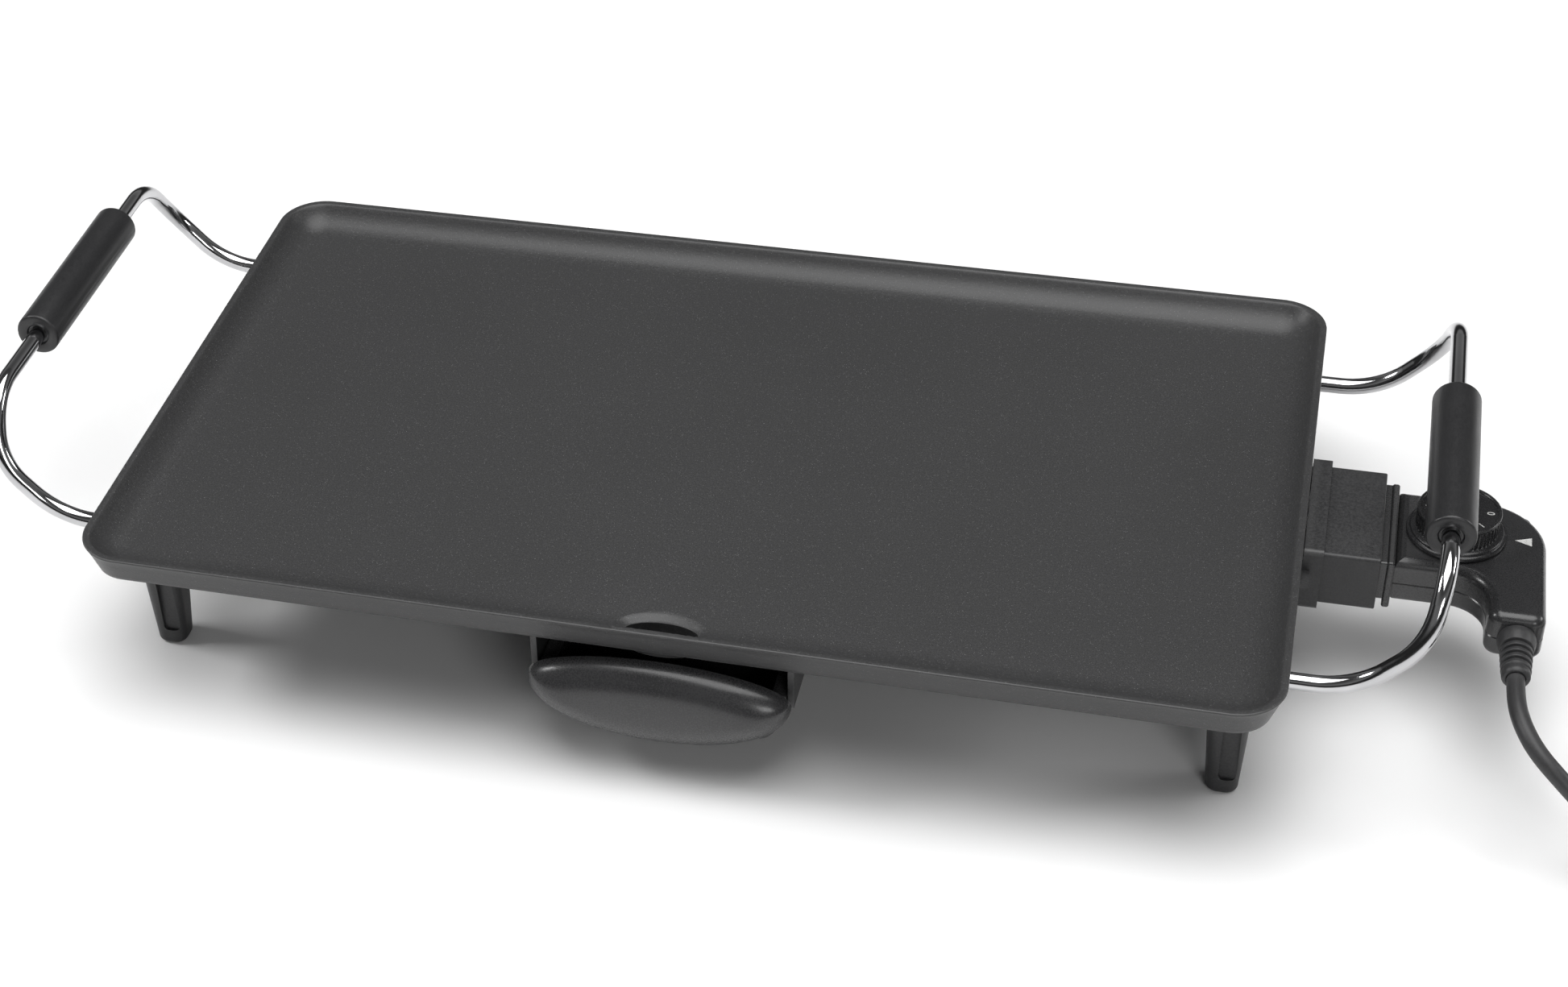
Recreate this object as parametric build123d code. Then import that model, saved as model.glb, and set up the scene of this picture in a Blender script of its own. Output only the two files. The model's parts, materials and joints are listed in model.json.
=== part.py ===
"""Electric table griddle with a cast plate, two wire handles, a drip tray and a plug-in controller.

Millimetres, +Z up. Every sub-part is modelled about the centre of the cooking plate, with the
table top at Z = 0, and is then moved by PLATE_X and PLATE_Y, which puts the origin under the
middle of the griddle's footprint (its loose cord left out).
"""
from build123d import *
import math
import os

# ---- cooking plate
PLATE_LENGTH = 480.0          # rim, along X
PLATE_DEPTH = 278.0           # rim, along Y
RIM_Z = 75.0                  # top of the rim above the table
RIM_LAND = 3.0                # flat top of the rim
RIM_CORNER_R = 20.0
PLATE_HEIGHT = 14.0           # outside height of the casting
PLATE_TAPER = 19.65           # degrees that the outer wall leans in
BASIN_DEPTH = 9.0
BASIN_TAPER = 37.0            # degrees that the inner wall leans in
BASIN_FILLET_R = 18.0
UNDERSIDE_Z = RIM_Z - PLATE_HEIGHT
BASIN_Z = RIM_Z - BASIN_DEPTH

# ---- drain and drip tray, on one centre line
TRAY_X = 3.0
DRAIN_Y = -125.2
DRAIN_HALF_X = 14.5
DRAIN_HALF_Y = 6.2
DRAIN_COLLAR = 1.2
GUIDE_HALF = 53.0             # half the outer width of the tray guide
GUIDE_WALL = 2.5
GUIDE_FRONT_Y = -128.0
GUIDE_BACK_Y = -22.0
GUIDE_BOTTOM_Z = 38.0
TRAY_FRONT_Y = -133.0
TRAY_BACK_Y = -28.0
TRAY_BOTTOM_Z = 20.5
TRAY_FLANGE_Z = 43.0          # top of the tray's sliding flanges
TRAY_WALL = 2.2
SCOOP_HALF = 53.0             # the scoop handle's tips, either side of TRAY_X
SCOOP_TIP_Z = 43.0
SCOOP_TOP_Z = 56.5
SCOOP_LOW_Z = 18.0
SCOOP_REACH = 12.0            # how far the scoop stands in front of the tray
SCOOP_SKIN = 2.5
SCOOP_EDGE_R = 2.8

# ---- tubular heating element, cast into a ridge under the plate
ELEMENT_R = 3.2
TERMINAL_Y = 15.0
SOCKET_Z = 55.5               # height of the terminals and of the probe
RIDGE_WIDTH = 14.0
RIDGE_BOTTOM_Z = 50.0
ELEMENT_RIGHT_X = 185.0
ELEMENT_LEFT_X = -195.0
ELEMENT_SIDE_Y = 85.0
ELEMENT_BEND_R = 18.0
ELEMENT_END_X = 249.0

# ---- feet, which also clamp the handle rods under the plate
HANDLE_Y = 4.5                # middle of the handles and of the feet
LEG_HALF = 99.0               # from there to each leg of a rod, and to each foot
FOOT_X = 220.0
FOOT_LENGTH = 19.0
FOOT_WIDTH = 20.0
FOOT_TAPER = 3.0              # degrees that each face leans in
FOOT_CORNER_R = 5.0
FOOT_SOLE_R = 2.5             # rounding round the sole
FOOT_POCKET_X = (-1.5, 5.4)   # the pocket in the outer face
FOOT_POCKET_Z = (8.0, 46.0)
FOOT_POCKET_DEPTH = 4.0
FOOT_SCREW_R = 1.6
FOOT_SCREW_HEAD_R = 2.9
FOOT_SCREW_Z = 44.0           # seat of the screw's head, up inside the foot
ROD_R = 3.5
ROD_Z = 57.0
ROD_IN_X = 207.0              # inner end of each leg
GRIP_X = 292.0
GRIP_Z = 106.0
GRIP_R = 9.5
GRIP_LENGTH = 90.0
GRIP_MIDDLE_Y = {"left": 9.0, "right": -13.0}

# ---- socket shroud on the right-hand wall
SHROUD_X = (240.4, 270.0)
SHROUD_HALF = 29.5
SHROUD_Z = (43.5, 68.5)
SHROUD_WALL = 3.0
COLLAR_END_X = 248.0
COLLAR_PROUD = 2.0

# ---- plug-in controller
NOSE_GAP = 0.35               # clearance of the nose inside the shroud
NOSE_START_X = 247.0
FLANGE_X = (272.5, 275.5)
FLANGE_HALF = 26.5
TONGUE_HALF = 19.8
BODY_BOTTOM_Z = 44.0
BODY_TOP_Z = 64.0
PARTING_Z = 53.0
PARTING_BEVEL = 0.4
BODY_TOP_R = 4.2
BODY_BOTTOM_R = 3.0
SHELL = 2.0
NECK_HALF = 22.8
BODY_RIGHT_X = 333.0
ARM_LEFT_X = 311.5
ARM_END_Y = -49.0
ELBOW_OUTER_R = 26.0
ELBOW_INNER_R = 15.0
ARM_CORNER_R = 5.0
PROBE_R = 3.0
PROBE_TIP_X = 172.0
DIAL_X = 298.0
DIAL_R = 16.2
DIAL_TOP_Z = 76.7
DIAL_SKIRT_R = 19.4
SPINDLE_R = 3.0

# ---- mains cord, coil and plug
CORD_R = 3.5
JACKET_END_Y = -32.8          # where the jacket is stripped, inside the arm
RELIEF_X = 323.0
RELIEF_END_Y = -73.0
COIL_CENTRE = (410.0, -72.0)
COIL_TURN_R = (35.0, 42.0)    # centre lines of the inner and the outer turns
COIL_LAYERS = 3
COIL_TOP_TURN_Z = (2 * COIL_LAYERS - 1) * CORD_R + 0.4
PLUG_R = 18.5
PLUG_X = COIL_CENTRE[0] + COIL_TURN_R[1]
PLUG_BOOT_Y = COIL_CENTRE[1] + 15.0

# ---- the origin: the middle of the footprint
LEFT_REACH = GRIP_X + GRIP_R
FRONT_REACH = -TRAY_FRONT_Y + SCOOP_REACH
PLATE_X = (LEFT_REACH - BODY_RIGHT_X) / 2
PLATE_Y = (FRONT_REACH - PLATE_DEPTH / 2) / 2


# ---------------------------------------------------------------- helpers
def block(x, y, z):
    """A box from its three (low, high) pairs."""
    size = [pair[1] - pair[0] for pair in (x, y, z)]
    centre = [(pair[1] + pair[0]) / 2 for pair in (x, y, z)]
    return Pos(*centre) * Box(*size)


def rod_x(x, y, z, radius):
    """A round bar along X between the two values of x."""
    return Pos((x[0] + x[1]) / 2, y, z) * Rot(0, 90, 0) * Cylinder(radius, x[1] - x[0])


def rod_y(x, y, z, radius):
    """A round bar along Y between the two values of y."""
    return Pos(x, (y[0] + y[1]) / 2, z) * Rot(90, 0, 0) * Cylinder(radius, y[1] - y[0])


def rod_z(x, y, z, radius):
    """A round bar along Z between the two values of z."""
    return Pos(x, y, (z[0] + z[1]) / 2) * Cylinder(radius, z[1] - z[0])


def tube(path, radius):
    """A round bar along a path of tangent lines and arcs."""
    return sweep(Plane(origin=path @ 0, z_dir=path % 0) * Circle(radius), path=path)


def bend_radii(points):
    """The largest radius that each corner of a route has room for."""
    vectors = [Vector(*p) for p in points]
    radii = []
    for before, corner, after in zip(vectors, vectors[1:], vectors[2:]):
        turn = (corner - before).get_angle(after - corner)
        shorter = min((corner - before).length, (after - corner).length)
        radii.append(0.45 * shorter / math.tan(math.radians(turn / 2)))
    return radii


def rounded_slab(length, width, corner, z_top, depth, taper=0.0):
    """A slab that hangs down from z_top, with its sides leaning in by taper degrees."""
    top = Plane(origin=(0, 0, z_top), z_dir=(0, 0, -1))
    return extrude(top * RectangleRounded(length, width, corner), depth, taper=taper)


def screw(x, y, head_z, tip_z, radius=2.0, head_radius=3.6, head_height=2.2):
    """A pan-head screw that goes up from head_z to tip_z, with a cross slot in its head."""
    head = rod_z(x, y, (head_z - head_height, head_z), head_radius)
    head = fillet(head.edges().group_by(Axis.Z)[0], 0.8)
    shank = rod_z(x, y, (head_z, tip_z), radius)
    low = head_z - head_height
    slots = block((x - 2, x + 2), (y - 0.35, y + 0.35), (low - 1, low + 1))
    slots += block((x - 0.35, x + 0.35), (y - 2, y + 2), (low - 1, low + 1))
    return head + shank - slots


# ---------------------------------------------------------------- plate and element
def element_path(end_x):
    """The centre line of the heating element, a single loop from terminal to terminal."""
    half = [
        (end_x, TERMINAL_Y),
        (ELEMENT_RIGHT_X, TERMINAL_Y),
        (ELEMENT_RIGHT_X, ELEMENT_SIDE_Y),
        (ELEMENT_LEFT_X, ELEMENT_SIDE_Y),
    ]
    points = half + [(x, -y) for x, y in reversed(half)]
    return FilletPolyline(*[(x, y, SOCKET_Z) for x, y in points], radius=ELEMENT_BEND_R)


def drain_oval(grow, z):
    """The oval drain opening, grown by grow on every side, between two heights."""
    outline = Ellipse(DRAIN_HALF_X + grow, DRAIN_HALF_Y + grow)
    return extrude(Plane(origin=(TRAY_X, DRAIN_Y, z[0])) * outline, z[1] - z[0])


def screw_holes():
    """Blind holes in the underside of the plate for all of its screws."""
    places = guide_screw_places() + shroud_screw_places()
    holes = [rod_z(x, y, (UNDERSIDE_Z - 1, UNDERSIDE_Z + 3.2), 2.05) for x, y in places]
    return holes + [rod_z(x, y, (UNDERSIDE_Z - 1, UNDERSIDE_Z + 3.2), FOOT_SCREW_R + 0.05)
                    for x, y in foot_screw_places()]


def griddle_plate():
    plate = rounded_slab(PLATE_LENGTH, PLATE_DEPTH, RIM_CORNER_R, RIM_Z, PLATE_HEIGHT, PLATE_TAPER)
    plate = fillet(plate.edges().group_by(Axis.Z)[0], 2.0)
    basin = rounded_slab(PLATE_LENGTH - 2 * RIM_LAND, PLATE_DEPTH - 2 * RIM_LAND,
                         RIM_CORNER_R - RIM_LAND, RIM_Z, BASIN_DEPTH, BASIN_TAPER)
    basin = fillet(basin.edges().group_by(Axis.Z)[0], BASIN_FILLET_R)
    plate -= basin
    ridge_line = element_path(PLATE_LENGTH / 2 - 8)
    ridge = trace(ridge_line, line_width=RIDGE_WIDTH)
    plate += extrude(Pos(0, 0, RIDGE_BOTTOM_Z - SOCKET_Z) * ridge,
                     UNDERSIDE_Z - RIDGE_BOTTOM_Z + 1, dir=(0, 0, 1))
    boss = block((PROBE_TIP_X - 8, PLATE_LENGTH / 2 - 8), (-6, 6), (RIDGE_BOTTOM_Z, UNDERSIDE_Z + 1))
    plate += boss
    plate -= rod_x((PROBE_TIP_X - 4, PLATE_LENGTH / 2), 0, SOCKET_Z, PROBE_R + 0.4)
    plate -= tube(element_path(PLATE_LENGTH / 2), ELEMENT_R + 0.05)
    plate -= drain_oval(0, (UNDERSIDE_Z - 2, RIM_Z))
    plate -= drain_oval(2.5, (BASIN_Z - 1.2, RIM_Z - 3))
    plate += drain_oval(DRAIN_COLLAR, (UNDERSIDE_Z - 3, UNDERSIDE_Z + 0.5)) - drain_oval(
        0, (UNDERSIDE_Z - 4, UNDERSIDE_Z + 1))
    for hole in screw_holes():
        plate -= hole
    return plate


def heating_element():
    return tube(element_path(ELEMENT_END_X), ELEMENT_R)


def terminal_seals():
    return [rod_x((ELEMENT_END_X, ELEMENT_END_X + 2), side * TERMINAL_Y, SOCKET_Z, ELEMENT_R)
            - rod_x((ELEMENT_END_X - 1, ELEMENT_END_X + 3), side * TERMINAL_Y, SOCKET_Z, 2.2)
            for side in (-1, 1)]


def terminal_pins():
    pins = []
    for side in (-1, 1):
        pin = rod_x((ELEMENT_END_X, ELEMENT_END_X + 17), side * TERMINAL_Y, SOCKET_Z, 2.2)
        pins.append(fillet(pin.edges().group_by(Axis.X)[-1], 1.6))
    return pins


def earth_tab():
    """A strip against the probe boss, which reaches into the socket."""
    return block((206, 264), (-4, 4), (RIDGE_BOTTOM_Z - 1, RIDGE_BOTTOM_Z))


# ---------------------------------------------------------------- feet and handles
def foot_screw_places():
    return [(sx * FOOT_X, HANDLE_Y + sy * LEG_HALF) for sx in (-1, 1) for sy in (-1, 1)]


def foot(side_x, side_y):
    """A tapered foot with a pocket in its outer face and a groove that clamps the rod."""
    shrink = 2 * UNDERSIDE_Z * math.tan(math.radians(FOOT_TAPER))
    top = Plane(origin=(0, 0, UNDERSIDE_Z)) * RectangleRounded(FOOT_LENGTH, FOOT_WIDTH, FOOT_CORNER_R)
    sole = RectangleRounded(FOOT_LENGTH - shrink, FOOT_WIDTH - shrink, FOOT_CORNER_R)
    body = loft([sole, top])
    body = fillet(body.edges().group_by(Axis.Z)[0], FOOT_SOLE_R)
    pocket_y = sorted((side_y * (FOOT_WIDTH / 2 - FOOT_POCKET_DEPTH), side_y * FOOT_WIDTH))
    pocket = block(FOOT_POCKET_X, pocket_y, FOOT_POCKET_Z)
    body -= fillet(pocket.edges().filter_by(Axis.Y), 2.0)
    body -= rod_x((-FOOT_LENGTH, FOOT_LENGTH), 0, ROD_Z, ROD_R + 0.05)
    body -= block((-FOOT_LENGTH, FOOT_LENGTH), (-ROD_R, ROD_R), (ROD_Z, UNDERSIDE_Z + 1))
    body -= rod_z(0, 0, (40, ROD_Z), FOOT_SCREW_R + 0.1)
    body -= rod_z(0, 0, (-1, FOOT_SCREW_Z), FOOT_SCREW_HEAD_R + 0.3)
    return Pos(side_x * FOOT_X, HANDLE_Y + side_y * LEG_HALF, 0) * body


def foot_screws():
    return [screw(x, y, FOOT_SCREW_Z, UNDERSIDE_Z + 3, FOOT_SCREW_R, FOOT_SCREW_HEAD_R)
            for x, y in foot_screw_places()]


def handle_rod(side):
    """One bent rod: both legs run out from under the plate and rise to the grip."""
    half = [
        (ROD_IN_X, LEG_HALF, ROD_Z),
        (264.0, LEG_HALF, ROD_Z),
        (288.0, LEG_HALF, 82.0),
        (GRIP_X, LEG_HALF - 16.0, GRIP_Z),
    ]
    points = half + [(x, -y, z) for x, y, z in reversed(half)]
    points = [(side * x, HANDLE_Y + y, z) for x, y, z in points]
    rod = tube(FilletPolyline(*points, radius=bend_radii(points)), ROD_R)
    for sy in (-1, 1):
        rod -= rod_z(side * FOOT_X, HANDLE_Y + sy * LEG_HALF, (ROD_Z - 5, ROD_Z + 5), FOOT_SCREW_R + 0.1)
    return rod


def handle_grip(side, name):
    """A sleeve that turns on the rod, with a recess round the rod at each end."""
    middle = GRIP_MIDDLE_Y[name]
    low, high = middle - GRIP_LENGTH / 2, middle + GRIP_LENGTH / 2
    grip = rod_y(0, (low, high), 0, GRIP_R)
    grip = fillet(grip.edges(), 3.0)
    grip -= rod_y(0, (low - 1, high + 1), 0, ROD_R + 0.06)
    for end in (low, high):
        grip -= rod_y(0, (end - 2.5, end + 2.5), 0, 5.8)
    return Pos(side * GRIP_X, 0, GRIP_Z) * grip


# ---------------------------------------------------------------- drip tray
def guide_screw_places():
    return [(TRAY_X + sx * (GUIDE_HALF + 4.5), y) for sx in (-1, 1) for y in (-112.0, -34.0)]


def tray_guide():
    """Two side rails with ledges and a back stop, screwed under the plate."""
    inner = GUIDE_HALF - GUIDE_WALL
    y = (GUIDE_FRONT_Y, GUIDE_BACK_Y)
    z = (GUIDE_BOTTOM_Z, UNDERSIDE_Z)
    guide = block((TRAY_X - inner, TRAY_X + inner), (GUIDE_BACK_Y - GUIDE_WALL, GUIDE_BACK_Y), z)
    for side in (-1, 1):
        wall = sorted((TRAY_X + side * inner, TRAY_X + side * GUIDE_HALF))
        ledge = sorted((TRAY_X + side * (inner - 3.8), TRAY_X + side * inner))
        guide += block(wall, y, z)
        guide += block(ledge, y, (GUIDE_BOTTOM_Z, GUIDE_BOTTOM_Z + 2.4))
    for sx, py in guide_screw_places():
        side = math.copysign(1, sx - TRAY_X)
        ear = sorted((sx + side * 4.0, TRAY_X + side * inner))
        guide += block(ear, (py - 6, py + 6), (UNDERSIDE_Z - 3, UNDERSIDE_Z))
    ridge = (-ELEMENT_SIDE_Y - RIDGE_WIDTH / 2 - 1, -ELEMENT_SIDE_Y + RIDGE_WIDTH / 2 + 1)
    guide -= block((-100, 100), ridge, (RIDGE_BOTTOM_Z - 0.4, UNDERSIDE_Z + 1))
    for sx, py in guide_screw_places():
        guide -= rod_z(sx, py, (UNDERSIDE_Z - 4, UNDERSIDE_Z + 1), 2.05)
    return guide


def guide_screws():
    return [screw(x, y, UNDERSIDE_Z - 3, UNDERSIDE_Z + 3) for x, y in guide_screw_places()]


def half_plane(half, side):
    """A rectangle that keeps the upper (side 1) or lower (side -1) half of an oval."""
    return Pos(0, side * half) * Rectangle(4 * half, 2 * half)


def scoop_outline(inset):
    """The scoop seen from the front: a shallow half oval over a deep one."""
    half = SCOOP_HALF - 1.6 * inset
    top = Ellipse(half, SCOOP_TOP_Z - inset - SCOOP_TIP_Z) & half_plane(half, 1)
    low = Ellipse(half, SCOOP_TIP_Z - SCOOP_LOW_Z - inset) & half_plane(half, -1)
    return Pos(0, SCOOP_TIP_Z) * (top + low)


def drip_tray():
    """An open tray with sliding flanges and a bowed scoop handle at its front."""
    half = GUIDE_HALF - GUIDE_WALL - 4.6
    flange = GUIDE_HALF - GUIDE_WALL - 0.5
    y = (TRAY_FRONT_Y, TRAY_BACK_Y)
    tray = block((-half, half), y, (TRAY_BOTTOM_Z, TRAY_FLANGE_Z))
    tray = fillet(tray.edges().filter_by(Axis.Y).group_by(Axis.Z)[0], 6.0)
    tray += block((-flange, flange), (GUIDE_FRONT_Y, TRAY_BACK_Y), (TRAY_FLANGE_Z - 1.8, TRAY_FLANGE_Z))
    inside = block((-half + TRAY_WALL, half - TRAY_WALL), (y[0] + TRAY_WALL, y[1] - TRAY_WALL),
                   (TRAY_BOTTOM_Z + TRAY_WALL, TRAY_FLANGE_Z + 1))
    inside = fillet(inside.edges().filter_by(Axis.Y).group_by(Axis.Z)[0], 4.0)
    tray -= inside
    front = Plane(origin=(0, TRAY_FRONT_Y, 0), x_dir=(1, 0, 0), z_dir=(0, -1, 0))
    scoop = extrude(front * scoop_outline(0), SCOOP_REACH)
    scoop = fillet(scoop.edges().group_by(Axis.Y)[0], SCOOP_EDGE_R)
    hollow = extrude(front * scoop_outline(SCOOP_SKIN), SCOOP_REACH - SCOOP_SKIN)
    hollow = fillet(hollow.edges().group_by(Axis.Y)[0], SCOOP_EDGE_R / 2)
    scoop -= hollow
    return Pos(TRAY_X, 0, 0) * (tray + scoop)


# ---------------------------------------------------------------- socket
def shroud_screw_places():
    return [(224.0, side * 32.0) for side in (-1, 1)]


def socket_shroud():
    """The open box round the terminals, with a collar and two ears under the plate."""
    y = (-SHROUD_HALF, SHROUD_HALF)
    shroud = block(SHROUD_X, y, SHROUD_Z)
    shroud = fillet(shroud.edges().filter_by(Axis.X), 1.5)
    shroud = fillet(shroud.edges().group_by(Axis.X)[-1], 0.6)
    collar = block((SHROUD_X[0], COLLAR_END_X), (y[0] - COLLAR_PROUD, y[1] + COLLAR_PROUD),
                   (SHROUD_Z[0] - COLLAR_PROUD, SHROUD_Z[1] + COLLAR_PROUD))
    shroud += fillet(collar.edges().filter_by(Axis.X), 2.0)
    shroud -= block((SHROUD_X[0] + 5.6, SHROUD_X[1] + 1),
                    (y[0] + SHROUD_WALL, y[1] - SHROUD_WALL),
                    (SHROUD_Z[0] + SHROUD_WALL, SHROUD_Z[1] - SHROUD_WALL))
    for side in (-1, 1):
        ear = sorted((side * 25.0, side * 38.0))
        shroud += block((216, SHROUD_X[0] + 3), ear, (UNDERSIDE_Z - 4, UNDERSIDE_Z - 0.1))
    for x, py in shroud_screw_places():
        shroud -= rod_z(x, py, (UNDERSIDE_Z - 6, UNDERSIDE_Z + 1), 2.05)
    for side in (-1, 1):
        shroud -= rod_x((SHROUD_X[0] - 1, NOSE_START_X), side * TERMINAL_Y, SOCKET_Z, ELEMENT_R + 0.1)
    shroud -= rod_x((SHROUD_X[0] - 1, NOSE_START_X), 0, SOCKET_Z, PROBE_R + 0.8)
    shroud -= block((SHROUD_X[0] - 1, NOSE_START_X), (-4.2, 4.2),
                    (RIDGE_BOTTOM_Z - 1.2, RIDGE_BOTTOM_Z + 0.2))
    return shroud


def shroud_screws():
    return [screw(x, y, UNDERSIDE_Z - 4, UNDERSIDE_Z + 3) for x, y in shroud_screw_places()]


# ---------------------------------------------------------------- controller
def body_outline(inset):
    """The controller's elbow seen from above, set in by inset all round."""
    x0 = FLANGE_X[1] + inset
    x1, x2 = ARM_LEFT_X + inset, BODY_RIGHT_X - inset
    y0, y1, y2 = ARM_END_Y + inset, -NECK_HALF + inset, NECK_HALF + 2.2 - inset
    outline = make_face(Polyline((x0, y1), (x1, y1), (x1, y0), (x2, y0), (x2, y2), (x0, y2), close=True))
    corners = [
        ((x2, y2), ELBOW_OUTER_R - inset),
        ((x1, y1), ELBOW_INNER_R + inset),
        ((x1, y0), ARM_CORNER_R),
        ((x2, y0), ARM_CORNER_R),
    ]
    for corner, radius in corners:
        outline = fillet(outline.vertices().sort_by_distance(corner)[0], radius)
    return outline


def body_slab(inset, z):
    return extrude(Plane(origin=(0, 0, z[0])) * body_outline(inset), z[1] - z[0])


def housing_screw_places():
    return [(289.0, -17.3), (289.0, 19.3), (323.0, 13.0)]


def relief_hole():
    return rod_y(RELIEF_X, (ARM_END_Y - 1, ARM_END_Y + SHELL + 0.5), (BODY_BOTTOM_Z + BODY_TOP_Z) / 2, 5.0)


def nose_hole():
    """The opening in the neck for the tongue of the nose."""
    return block((FLANGE_X[1] - 1, FLANGE_X[1] + SHELL + 1), (-TONGUE_HALF - 0.1, TONGUE_HALF + 0.1),
                 (BODY_BOTTOM_Z + 3, BODY_TOP_Z - 3))


def lower_housing():
    shell = body_slab(0, (BODY_BOTTOM_Z, PARTING_Z))
    shell = fillet(shell.edges().group_by(Axis.Z)[0], BODY_BOTTOM_R)
    shell = chamfer(shell.edges().group_by(Axis.Z)[-1], PARTING_BEVEL)
    shell -= body_slab(SHELL, (BODY_BOTTOM_Z + SHELL, PARTING_Z + 1))
    for x, y in housing_screw_places():
        shell += rod_z(x, y, (BODY_BOTTOM_Z + 1, PARTING_Z), 3.6)
        shell -= rod_z(x, y, (BODY_BOTTOM_Z - 1, PARTING_Z + 1), 1.6)
        shell -= rod_z(x, y, (BODY_BOTTOM_Z - 1, BODY_BOTTOM_Z + 3), 3.0)
    return shell - relief_hole() - nose_hole()


def upper_housing():
    shell = body_slab(0, (PARTING_Z, BODY_TOP_Z))
    shell = fillet(shell.edges().group_by(Axis.Z)[-1], BODY_TOP_R)
    shell = chamfer(shell.edges().group_by(Axis.Z)[0], PARTING_BEVEL)
    shell -= body_slab(SHELL + 0.4, (PARTING_Z - 1, BODY_TOP_Z - SHELL))
    for x, y in housing_screw_places():
        shell += rod_z(x, y, (PARTING_Z, BODY_TOP_Z - 1), 3.6)
        shell -= rod_z(x, y, (PARTING_Z - 1, PARTING_Z + 7), 1.5)
    shell -= rod_z(DIAL_X, 0, (PARTING_Z, BODY_TOP_Z + 1), SPINDLE_R + 0.06)
    return shell - relief_hole() - nose_hole()


def housing_screws():
    return [screw(x, y, BODY_BOTTOM_Z + 3, PARTING_Z + 6, 1.45, 2.8, 1.8)
            for x, y in housing_screw_places()]


def controller_nose():
    """The insulating block that fills the socket, with its flange and its tongue."""
    half = SHROUD_HALF - SHROUD_WALL - NOSE_GAP
    z = (SHROUD_Z[0] + SHROUD_WALL + NOSE_GAP, SHROUD_Z[1] - SHROUD_WALL - NOSE_GAP)
    nose = block((NOSE_START_X, FLANGE_X[0]), (-half, half), z)
    nose = fillet(nose.edges().filter_by(Axis.X), 1.0)
    flange = block(FLANGE_X, (-FLANGE_HALF, FLANGE_HALF), (BODY_BOTTOM_Z - 1.0, BODY_TOP_Z + 1.6))
    nose += fillet(flange.edges(), 1.0)
    nose += block((FLANGE_X[1], FLANGE_X[1] + 5), (-TONGUE_HALF, TONGUE_HALF),
                  (BODY_BOTTOM_Z + 3.1, BODY_TOP_Z - 3.1))
    for side in (-1, 1):
        nose -= rod_x((NOSE_START_X - 1, 284), side * TERMINAL_Y, SOCKET_Z, 3.7)
    nose -= rod_x((NOSE_START_X - 1, 284), 0, SOCKET_Z, PROBE_R + 0.02)
    nose -= block((NOSE_START_X - 1, 273), (-4.6, 4.6), (RIDGE_BOTTOM_Z - 2.4, RIDGE_BOTTOM_Z + 0.5))
    return nose


def contact_sleeves():
    return [rod_x((252, 279), side * TERMINAL_Y, SOCKET_Z, 3.65)
            - rod_x((251, 272), side * TERMINAL_Y, SOCKET_Z, 2.26)
            for side in (-1, 1)]


def earth_contact():
    return block((250, 273), (-4, 4), (RIDGE_BOTTOM_Z - 2.2, RIDGE_BOTTOM_Z - 1.4))


def probe():
    rod = rod_x((PROBE_TIP_X, 286), 0, SOCKET_Z, PROBE_R)
    return fillet(rod.edges().group_by(Axis.X)[0], 2.6)


def thermostat_bracket():
    plate = block((285, 312), (-9, 9), (47.2, 48.4))
    ear = block((286, 287.2), (-9, 9), (48.4, 59))
    return plate + ear


def contact_blades():
    return [block((289, 309), (-3.5, 3.5), (50.4, 50.9)), block((289, 306), (-3.0, 3.0), (52.4, 52.9))]


def ceramic_spacers():
    stack = [(48.4, 50.4), (50.9, 52.4)]
    return [rod_z(305.5, 0, z, 3.0) - rod_z(305.5, 0, (z[0] - 1, z[1] + 1), 1.2) for z in stack]


def lead_wires():
    """Insulated leads from the cord's clamp to the two contact sleeves."""
    middle_z = (BODY_BOTTOM_Z + BODY_TOP_Z) / 2
    routes = [
        [(279, 15, SOCKET_Z), (282, 15, SOCKET_Z), (286, 12.4, SOCKET_Z), (306, 12.4, SOCKET_Z),
         (318, 1, middle_z), (321.3, -12, middle_z), (321.3, JACKET_END_Y, middle_z)],
        [(279, -15, SOCKET_Z), (282, -15, SOCKET_Z), (286, -12.4, SOCKET_Z), (304, -12.4, SOCKET_Z),
         (319, -15, middle_z), (324.7, -24, middle_z), (324.7, JACKET_END_Y, middle_z)],
    ]
    return [tube(FilletPolyline(*points, radius=2.5), 1.2) for points in routes]


def cord_clamp():
    """A saddle under the cord's jacket."""
    bar = block((316.5, 329.5), (-40, -34), (BODY_BOTTOM_Z + SHELL, 52.4))
    jacket = rod_y(RELIEF_X, (-42, -30), (BODY_BOTTOM_Z + BODY_TOP_Z) / 2, CORD_R + 0.05)
    return fillet(bar.edges().filter_by(Axis.Y), 0.8) - jacket


def dial():
    """A ribbed knob on a plain skirt, with a raised ring round its top."""
    grip_z = (BODY_TOP_Z + 3.4, DIAL_TOP_Z - 1.0)
    knob = rod_z(DIAL_X, 0, (BODY_TOP_Z + 0.4, BODY_TOP_Z + 3.4), DIAL_SKIRT_R)
    knob = fillet(knob.edges().group_by(Axis.Z)[-1], 1.0)
    ribs = Circle(DIAL_R - 0.6)
    for place in PolarLocations(DIAL_R - 0.7, 48):
        ribs += place * Circle(0.7)
    knob += extrude(Plane(origin=(DIAL_X, 0, grip_z[0])) * ribs, grip_z[1] - grip_z[0])
    ring = rod_z(DIAL_X, 0, (DIAL_TOP_Z - 2.0, DIAL_TOP_Z), DIAL_R)
    ring = fillet(ring.edges().group_by(Axis.Z)[-1], 0.6)
    knob += ring - rod_z(DIAL_X, 0, (DIAL_TOP_Z - 0.9, DIAL_TOP_Z + 1), DIAL_R - 1.8)
    return knob - rod_z(DIAL_X, 0, (BODY_TOP_Z, DIAL_TOP_Z - 3), SPINDLE_R + 0.02)


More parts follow.
